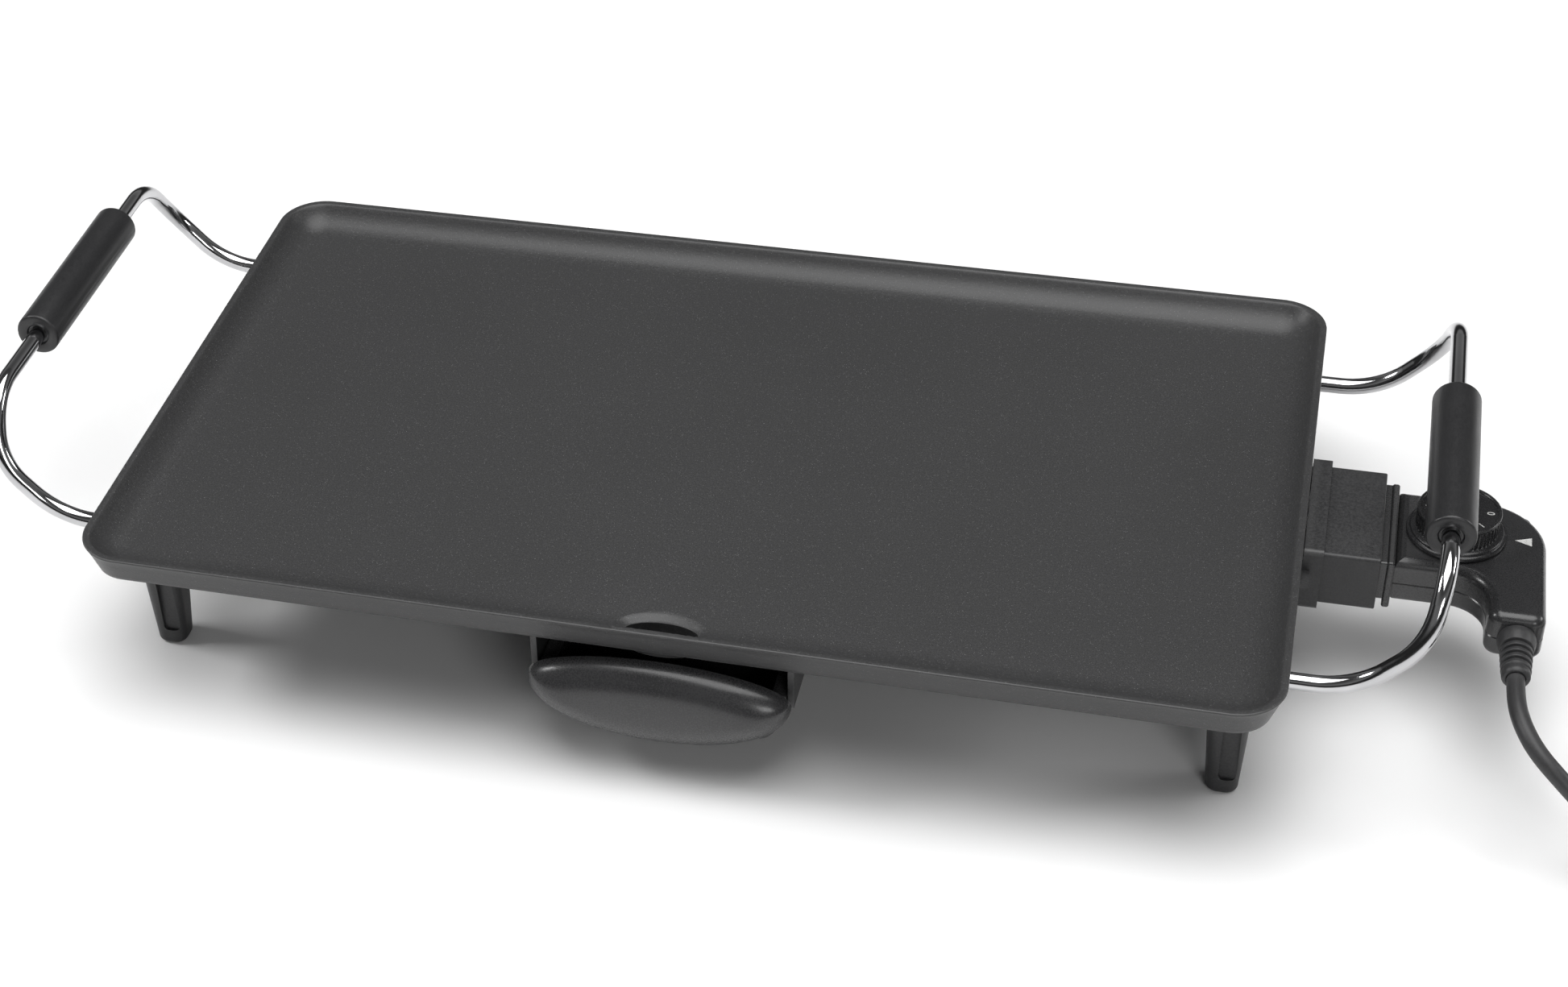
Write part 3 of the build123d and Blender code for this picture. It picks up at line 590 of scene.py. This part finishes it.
def plate_mesh():
    shell = Shell()
    _, outer_edge, drain_edge = top_face_points(shell)
    outline = rim_outline(LAND_EDGE)
    lower_rings = [(0.16, RIM_Z - 0.16), (0.0, RIM_Z - 0.7)]
    wall_low = UNDERSIDE_Z + 2.6
    lower_rings += [((RIM_Z - z) * PLATE_LEAN, z) for z in np.linspace(RIM_Z - 2.5, wall_low, 5)]
    inset_low = (RIM_Z - UNDERSIDE_Z) * PLATE_LEAN
    lower_rings += [(inset_low - 0.35, UNDERSIDE_Z + 0.9), (inset_low + 0.5, UNDERSIDE_Z + 0.2),
                    (inset_low + 1.7, UNDERSIDE_Z)]
    previous = outer_edge
    for inset, z in lower_rings:
        ring = shell.ring([(*point, z) for point in matched_outline(outline, inset)])
        shell.bridge(ring, previous)
        previous = ring
    collar = [(DRAIN_COLLAR, UNDERSIDE_Z), (DRAIN_COLLAR, UNDERSIDE_Z - 2.5),
              (DRAIN_COLLAR - 0.3, UNDERSIDE_Z - 3.0), (0.3, UNDERSIDE_Z - 3.0),
              (0.0, UNDERSIDE_Z - 2.7), (0.0, UNDERSIDE_Z + 2.5)]
    rings = [shell.ring([(*point, z) for point in drain_outline(grow)]) for grow, z in collar]
    for low, high in zip(rings, rings[1:]):
        shell.bridge(high, low)
    shell.bridge(drain_edge, rings[-1])
    bottom_face(shell, list(previous), list(rings[0]))
    return shell


def matched_outline(outline, inset):
    """The rim outline's points moved in or out to another inset, point for point."""
    moved = []
    for x, y in outline:
        limit_x, limit_y = PLATE_HALF_X - RIM_CORNER_R, PLATE_HALF_Y - RIM_CORNER_R
        dx, dy = max(abs(x) - limit_x, 0), max(abs(y) - limit_y, 0)
        reach = math.hypot(dx, dy)
        scale = (reach + LAND_EDGE - inset) / reach
        moved.append((math.copysign(min(abs(x), limit_x) + dx * scale, x),
                      math.copysign(min(abs(y), limit_y) + dy * scale, y)))
    return moved


def bottom_face(shell, outer, inner):
    """Triangulates the flat underside between its outer edge and the drain's collar."""
    points = [Vector(shell.verts[i][:2]) for i in outer + inner]
    first = [(i, (i + 1) % len(outer)) for i in range(len(outer))]
    start = len(outer)
    second = [(start + i, start + (i + 1) % len(inner)) for i in range(len(inner))]
    result = geometry.delaunay_2d_cdt(points, first + second, [], 1, 1e-5)
    index = outer + inner
    for face in result[2]:
        middle = sum((result[0][i] for i in face), Vector((0, 0))) / len(face)
        if drain_distance(*middle) > DRAIN_COLLAR - 0.1 and rim_inset(*middle) > 5.0:
            shell.faces.append(tuple(index[i] for i in face))


RIDGE_HALF = 7.0
RIDGE_BOTTOM_Z = 50.0
ELEMENT_LINE = [(231.5, 15.0), (185.0, 15.0), (185.0, 85.0), (-195.0, 85.0)]
ELEMENT_BEND_R = 18.0


def element_line():
    """The ridge's centre line, with its bends as arcs."""
    corners = ELEMENT_LINE + [(x, -y) for x, y in reversed(ELEMENT_LINE)]
    points = [corners[0]]
    for before, corner, after in zip(corners, corners[1:], corners[2:]):
        middle = Vector(corner)
        first, last = (Vector(before) - middle).normalized(), (Vector(after) - middle).normalized()
        centre = middle + (first + last) * ELEMENT_BEND_R
        for i in range(9):
            turned = (-last).lerp(-first, i / 8).normalized()
            points.append(tuple(centre + turned * ELEMENT_BEND_R))
    return points + [corners[-1]]


def add_ridge(shell):
    """The closed rib under the plate that the heating element is cast into."""
    line = element_line()
    section = [(-RIDGE_HALF, UNDERSIDE_Z + 0.5), (-RIDGE_HALF, UNDERSIDE_Z - 6),
               (-RIDGE_HALF + 1.2, RIDGE_BOTTOM_Z + 1.6), (-RIDGE_HALF + 3.2, RIDGE_BOTTOM_Z),
               (RIDGE_HALF - 3.2, RIDGE_BOTTOM_Z), (RIDGE_HALF - 1.2, RIDGE_BOTTOM_Z + 1.6),
               (RIDGE_HALF, UNDERSIDE_Z - 6), (RIDGE_HALF, UNDERSIDE_Z + 0.5)]
    rings = []
    for i, point in enumerate(line):
        before, after = Vector(line[max(i - 1, 0)]), Vector(line[min(i + 1, len(line) - 1)])
        along = (after - before).normalized()
        side = Vector((-along.y, along.x))
        rings.append([(point[0] + side.x * a, point[1] + side.y * a, z) for a, z in section])
    shell.loft(rings)
    boss = [(-6, UNDERSIDE_Z + 0.5), (-6, RIDGE_BOTTOM_Z + 1.5), (-4.5, RIDGE_BOTTOM_Z),
            (4.5, RIDGE_BOTTOM_Z), (6, RIDGE_BOTTOM_Z + 1.5), (6, UNDERSIDE_Z + 0.5)]
    shell.loft([[(x, y, z) for y, z in boss] for x in (164.0, 231.8)])


def griddle_plate():
    shell = plate_mesh()
    add_ridge(shell)
    piece = piece_from("plate_with_coat", shell.verts, shell.faces, "nonstick_coat", "plate",
                       ("griddle_plate",), 32)
    for face in piece.data.polygons:
        if abs(face.normal.z) > 0.99999:
            face.use_smooth = False
    return piece


# ---------------------------------------------------------------- cord, strain relief and plug
CORD_R = 3.5
COIL_CENTRE = (410.0, -72.0)
COIL_INNER_R = 35.0
COIL_OUTER_R = 42.0
COIL_STEP = 15.0              # degrees between the points of a turn
LAYER = 7.15                  # height from one layer of turns to the next
FLOOR_TURN_Z = 3.6
RELIEF_X = 323.0
RELIEF_Z = 54.0
RELIEF_END_Y = -73.0
ARM_END_Y = -49.0
PLUG_X = COIL_CENTRE[0] + COIL_OUTER_R
PLUG_Z = 18.5
PLUG_BOOT_Y = -57.0
CORD_ROUTE = [
    (RELIEF_X, RELIEF_END_Y, 54.0),
    (RELIEF_X, -85.0, 54.0),
    (325.9, -96.5, 51.9),
    (331.8, -106.2, 48.0),
    (341.2, -113.1, 42.2),
    (351.8, -116.6, 33.0),
    (361.8, -117.4, 22.6),
    (372.4, -117.0, 13.0),
    (384.6, -116.0, 6.2),
    (396.8, -114.9, 3.7),
    (404.0, -114.4, 3.6),
]
# (degrees along the coil, radius) and (degrees, layer): where the cord changes turn and layer
COIL_RADII = [(-80, COIL_OUTER_R), (180, COIL_OUTER_R), (245, COIL_INNER_R), (760, COIL_INNER_R),
              (820, COIL_OUTER_R), (1440, COIL_OUTER_R)]
COIL_LAYERS = [(-80, 0), (500, 0), (560, 1), (1135, 1), (1185, 2), (1440, 2)]


def between(table, at):
    """A smooth value between the entries of a table of (place, value)."""
    for (low, first), (high, last) in zip(table, table[1:]):
        if at <= high:
            t = max(at - low, 0) / (high - low)
            return first + (last - first) * t * t * (3 - 2 * t)
    return table[-1][1]


def coil_points():
    """The wound turns, out from the floor up to the top layer."""
    swell = 1 / math.cos(math.radians(COIL_STEP / 2))
    points = []
    for i in range(int((COIL_RADII[-1][0] - COIL_RADII[0][0]) / COIL_STEP) + 1):
        angle = COIL_RADII[0][0] + i * COIL_STEP
        radius = between(COIL_RADII, angle) * swell
        z = FLOOR_TURN_Z + LAYER * between(COIL_LAYERS, angle)
        turned = math.radians(angle)
        points.append((COIL_CENTRE[0] + radius * math.cos(turned),
                       COIL_CENTRE[1] + radius * math.sin(turned), z))
    return points


def nurbs(name, points, radius):
    curve = bpy.data.curves.new(name, "CURVE")
    curve.dimensions = "3D"
    spline = curve.splines.new("NURBS")
    spline.points.add(len(points) - 1)
    for knot, point in zip(spline.points, points):
        knot.co = (*mm(*point), 1)
    spline.order_u = 3
    spline.use_endpoint_u = True
    curve.resolution_u = 6
    curve.bevel_depth = radius / 1000
    curve.bevel_resolution = 7
    curve.use_fill_caps = True
    piece = bpy.data.objects.new(name, curve)
    bpy.context.scene.collection.objects.link(piece)
    return piece


def power_cord():
    into_boot = [(PLUG_X, PLUG_BOOT_Y - 9.0, PLUG_Z - 0.3), (PLUG_X, PLUG_BOOT_Y + 3.0, PLUG_Z)]
    cord = nurbs("power_cord_jacket", CORD_ROUTE + coil_points() + into_boot, CORD_R)
    cord.data.materials.append(MATERIALS["cord_rubber"])
    place_piece(cord, "controller", ("power_cord", "cord_coil"))
    return cord


def strain_relief():
    """A tapered sleeve: a collar against the housing, four rings and a rounded tail."""
    profile = [(0.2, 32.9), (3.45, 32.9), (3.5, 43.0), (4.9, 43.2), (4.9, -ARM_END_Y), (7.3, 49.05),
               (7.4, 51.6, 0.8), (6.5, 55.6)]
    for i in range(4):
        start, swell = 55.8 + 3.3 * i, 6.25 - 0.17 * i
        profile += [(swell - 1.2, start), (swell - 1.2, start + 1.2),
                    (swell, start + 1.3), (swell, start + 3.1)]
    profile += [(5.1, 69.4), (5.5, 69.6), (5.45, 72.0, 0.9), (4.6, 73.2),
                (3.55, 73.2), (3.55, 71.8), (0.2, 71.8)]
    shell = Shell()
    lathe(shell, rounded_profile(profile, 0.35, 4), lambda a, b, t: (RELIEF_X + a, -t, RELIEF_Z + b), 56)
    return piece_from("tapered_strain_relief", shell.verts, shell.faces, "cord_rubber", "controller",
                      ("strain_relief",), 40)


def mains_plug():
    """A round moulded plug with a ribbed boot and a recessed face."""
    profile = [(0.2, 0.0), (4.4, 0.0), (5.0, 1.0), (5.2, 4.0)]
    for i in range(5):
        start, swell = 5.0 + 4.0 * i, 5.6 + 0.62 * i
        profile += [(swell - 1.0, start), (swell - 1.0, start + 1.3),
                    (swell, start + 1.5), (swell, start + 3.6)]
    profile += [(8.6, 26.0), (9.5, 29.5, 2.0), (13.4, 32.0, 2.0), (14.0, 36.0, 2.0), (17.6, 38.0, 1.5),
                (18.45, 42.0, 1.5), (18.45, 45.0), (18.0, 45.4), (18.0, 46.0), (18.45, 46.4),
                (18.45, 58.6, 2.0),
                (17.0, 61.95, 1.4), (15.4, 61.95, 0.4), (15.2, 61.2, 0.3), (0.2, 61.2)]
    shell = Shell()
    lathe(shell, rounded_profile(profile, 0.5, 5),
          lambda a, b, t: (PLUG_X + a, PLUG_BOOT_Y + t, PLUG_Z + b), 72)
    return piece_from("moulded_plug", shell.verts, shell.faces, "plug_rubber", "controller",
                      ("mains_plug",), 40)


# ---------------------------------------------------------------- grips
GRIP_X = 292.0
GRIP_Z = 106.0
GRIP_R = 9.5
GRIP_HALF = 45.0
GRIP_BORE = 3.56
GRIP_RECESS_R = 4.6
GRIP_RECESS = 1.6


def handle_grip(side, name, middle):
    """A moulded sleeve with rounded ends, a recess round the rod and two faint mould lines."""
    half = [(GRIP_BORE, GRIP_HALF - GRIP_RECESS), (GRIP_RECESS_R, GRIP_HALF - GRIP_RECESS, 0.4),
            (GRIP_RECESS_R + 0.2, GRIP_HALF - 0.5, 0.5), (7.0, GRIP_HALF, 0.8),
            (GRIP_R, GRIP_HALF - 0.4, 3.2), (GRIP_R, GRIP_HALF - 12)]
    outer = rounded_profile([*half, (GRIP_R, 0)], 0.4, 6)
    profile = outer + [(r, -t) for r, t in reversed(outer[:-1])]
    count = 96
    shell = Shell()
    rings = []
    for radius, t in profile:
        ring = []
        for i in range(count):
            angle = 2 * math.pi * i / count
            line = abs(math.sin(angle)) < 0.04 and radius > 9
            reach = radius - (0.12 if line else 0.0)
            ring.append((side * GRIP_X + reach * math.cos(angle), middle + t,
                         GRIP_Z + reach * math.sin(angle)))
        rings.append(ring)
    made = shell.loft(rings, False, False)
    shell.bridge(made[-1], made[0])
    return piece_from(name + "_moulded_grip", shell.verts, shell.faces, "grip_black", name + "_grip",
                      (name + "_handle_grip",), 40)


# ---------------------------------------------------------------- dial and its marks
DIAL_X = 298.0
DIAL_LOW_Z = 64.4
DIAL_TOP_Z = 76.7
DIAL_R = 16.2
DIAL_SKIRT_R = 19.35
RIBS = 48
RIB_POINTS = 8
RIB_DEPTH = 0.75


def dial():
    """A ribbed knob on a stepped skirt, with a raised ring round its dished top."""
    rows = [(0.3, DIAL_LOW_Z, 0), (DIAL_SKIRT_R - 0.5, DIAL_LOW_Z, 0),
            (DIAL_SKIRT_R - 0.1, DIAL_LOW_Z + 0.2, 0),
            (DIAL_SKIRT_R, DIAL_LOW_Z + 0.6, 0), (DIAL_SKIRT_R, DIAL_LOW_Z + 1.3, 0),
            (DIAL_SKIRT_R - 0.25, DIAL_LOW_Z + 1.7, 0), (18.3, DIAL_LOW_Z + 1.9, 0),
            (18.1, DIAL_LOW_Z + 2.1, 0),
            (18.0, DIAL_LOW_Z + 2.8, 0), (17.7, DIAL_LOW_Z + 3.1, 0), (16.5, DIAL_LOW_Z + 3.3, 0),
            (DIAL_R - 0.25, DIAL_LOW_Z + 3.5, 0.0), (DIAL_R - 0.05, DIAL_LOW_Z + 3.9, 1),
            (DIAL_R - 0.05, DIAL_LOW_Z + 7.0, 1), (DIAL_R - 0.05, DIAL_TOP_Z - 2.2, 1),
            (DIAL_R - 0.2, DIAL_TOP_Z - 1.75, 0.3), (DIAL_R, DIAL_TOP_Z - 1.5, 0),
            (DIAL_R, DIAL_TOP_Z - 0.7, 0), (DIAL_R - 0.12, DIAL_TOP_Z - 0.3, 0),
            (DIAL_R - 0.4, DIAL_TOP_Z - 0.07, 0), (DIAL_R - 0.8, DIAL_TOP_Z, 0),
            (DIAL_R - 1.2, DIAL_TOP_Z - 0.07, 0), (DIAL_R - 1.5, DIAL_TOP_Z - 0.3, 0),
            (DIAL_R - 1.75, DIAL_TOP_Z - 0.8, 0), (DIAL_R - 2.2, DIAL_TOP_Z - 0.95, 0),
            (9.0, DIAL_TOP_Z - 0.85, 0),
            (4.0, DIAL_TOP_Z - 0.8, 0), (0.3, DIAL_TOP_Z - 0.8, 0)]
    count = RIBS * RIB_POINTS
    rings = []
    for radius, z, ribbed in rows:
        ring = []
        for i in range(count):
            wave = abs(math.sin(math.pi * i / RIB_POINTS))
            reach = radius - ribbed * RIB_DEPTH * (1 - wave ** 0.7)
            angle = 2 * math.pi * i / count
            ring.append((DIAL_X + reach * math.cos(angle), reach * math.sin(angle), z))
        rings.append(ring)
    shell = Shell()
    shell.loft(rings)
    return piece_from("ribbed_dial", shell.verts, shell.faces, "dial_black", "dial", ("dial",), 40)


def dial_numbers():
    """Heat settings 1 to 5 and an off mark, printed round the dial's top."""
    for i, text in enumerate("012345"):
        angle = math.radians(-45.0 * i)
        curve = bpy.data.curves.new("dial_number_" + text, "FONT")
        curve.body = text
        curve.size = 0.0042
        curve.align_x = "CENTER"
        curve.align_y = "CENTER"
        curve.extrude = 0.00003
        drawn = bpy.data.objects.new("number_curve", curve)
        bpy.context.scene.collection.objects.link(drawn)
        bpy.context.view_layer.update()
        mesh = bpy.data.meshes.new_from_object(drawn)
        bpy.data.objects.remove(drawn)
        place = mm(DIAL_X + 11.6 * math.cos(angle), 11.6 * math.sin(angle), DIAL_TOP_Z - 0.84)
        mesh.transform(Matrix.Translation(place) @ Matrix.Rotation(angle - math.pi / 2, 4, "Z"))
        mesh.materials.clear()
        mesh.materials.append(MATERIALS["marking"])
        number = bpy.data.objects.new("dial_number_" + text, mesh)
        bpy.context.scene.collection.objects.link(number)
        place_piece(number, "dial")


def pointer_mark():
    """The pointer printed on the controller's top, beside the dial."""
    low, high = 63.9, 64.12
    outline = [(320.6, 0.0), (327.0, -2.6), (327.0, 2.6)]
    shell = Shell()
    shell.loft([[(x, y, z) for x, y in outline] for z in (low, high)])
    return piece_from("pointer_mark", shell.verts, shell.faces, "gloss_black", "controller", look="marking")


# ---------------------------------------------------------------- drip tray
TRAY_HALF = 45.9
TRAY_FRONT_Y = -133.0
TRAY_BACK_Y = -28.0
TRAY_BOTTOM_Z = 20.5
TRAY_TOP_Z = 43.0
TRAY_WALL = 2.2
FLANGE_HALF = 50.0
SCOOP_HALF = 53.0
SCOOP_TIP_Z = 43.0
SCOOP_TOP_Z = 56.5
SCOOP_LOW_Z = 18.0
SCOOP_REACH = 12.0
SCOOP_SKIN = 2.0
SPINE_HALF = 30.0
SPINE_Z = 37.0


def oval_height(x, half, tip, top, power):
    """Height at x of a flattened oval from (-half, tip) over (0, top) to (half, tip)."""
    return tip + (top - tip) * max(1 - abs(x / half) ** power, 0) ** (1 / power)


def scoop_ring(inset, share, reach, count=40):
    """One ring of the scoop: share 0 is its outline, 1 its spine."""
    half = SCOOP_HALF - 1.9 * inset
    across = [-half * math.cos(math.pi * i / count) for i in range(count + 1)]
    upper = [(x, oval_height(x, half, SCOOP_TIP_Z, SCOOP_TOP_Z - inset, 2.0)) for x in across]
    lower = [(x, oval_height(x, half, SCOOP_TIP_Z, SCOOP_LOW_Z + inset, 2.0)) for x in reversed(across[1:-1])]
    ring = []
    for x, z in upper + lower:
        spine_x = SPINE_HALF * x / half
        ring.append((TRAY_X + x + (spine_x - x) * share, TRAY_FRONT_Y - reach, z + (SPINE_Z - z) * share))
    return ring


def scoop_skin(inset, reach, steps=16):
    """Rings of a pillow shape from its outline to its spine."""
    rings = []
    for i in range(steps + 1):
        share = 1 - math.cos(math.pi / 2 * i / steps)
        bulge = (1 - (1 - share) ** 2.3) ** (1 / 2.0)
        rings.append(scoop_ring(inset, share, reach * bulge))
    return rings


def tray_rings():
    """A bowl with rounded edges: outside from its bottom up, over its lip and down inside."""
    centre = (TRAY_FRONT_Y + TRAY_BACK_Y) / 2
    half_y = (TRAY_BACK_Y - TRAY_FRONT_Y) / 2
    rows = []
    for i in range(7):
        a = math.pi / 2 * i / 6
        rows.append((6.0 - 6.0 * math.sin(a), TRAY_BOTTOM_Z + 6.0 - 6.0 * math.cos(a)))
    rows += [(0.0, TRAY_TOP_Z - 6), (0.0, TRAY_TOP_Z - 0.4), (0.4, TRAY_TOP_Z),
             (TRAY_WALL - 0.4, TRAY_TOP_Z), (TRAY_WALL, TRAY_TOP_Z - 0.4)]
    floor_z = TRAY_BOTTOM_Z + TRAY_WALL
    for i in range(7):
        a = math.pi / 2 * i / 6
        rows.append((TRAY_WALL + 4.0 - 4.0 * math.cos(a), floor_z + 4.0 - 4.0 * math.sin(a)))
    rings = []
    for inset, z in rows:
        outline = round_rect(TRAY_HALF - inset, half_y - inset, max(7.0 - inset, 1.2), 8)
        rings.append([(TRAY_X + x, centre + y, z) for x, y in outline])
    return rings


def drip_tray():
    shell = Shell()
    shell.loft(tray_rings())
    for side in (-1, 1):
        middle = TRAY_X + side * (FLANGE_HALF + TRAY_HALF - 1.5) / 2
        half_x = (FLANGE_HALF - TRAY_HALF + 1.5) / 2
        rows = [(0.4, TRAY_TOP_Z - 1.8), (0.0, TRAY_TOP_Z - 1.4),
                (0.0, TRAY_TOP_Z - 0.5), (0.4, TRAY_TOP_Z - 0.1)]
        shell.loft([[(middle + x, (-128 + TRAY_BACK_Y) / 2 + y, z)
                     for x, y in round_rect(half_x - inset, 49.9 - inset, 1.2, 4)] for inset, z in rows])
    outer = scoop_skin(0.0, SCOOP_REACH)
    inner = scoop_skin(SCOOP_SKIN, SCOOP_REACH - SCOOP_SKIN)
    lip = [scoop_ring(0.9, 0, -0.05), scoop_ring(0.3, 0, 0.12)]
    shell.loft(list(reversed(inner)) + [scoop_ring(1.6, 0, 0.0)] + lip + outer, False, False)
    return piece_from("drip_tray_with_scoop", shell.verts, shell.faces, "tray_plastic", "tray",
                      ("drip_tray",), 40)


# ---------------------------------------------------------------- building it all
add_camera()
plug = mains_plug()
power_cord()
strain_relief()
paint_cad_nodes()
add_floor(MATERIALS["floor"])
add_lights()
griddle_plate()
handle_grip(-1, "left", 9.0)
handle_grip(1, "right", -13.0)
dial()
dial_numbers()
pointer_mark()
drip_tray()
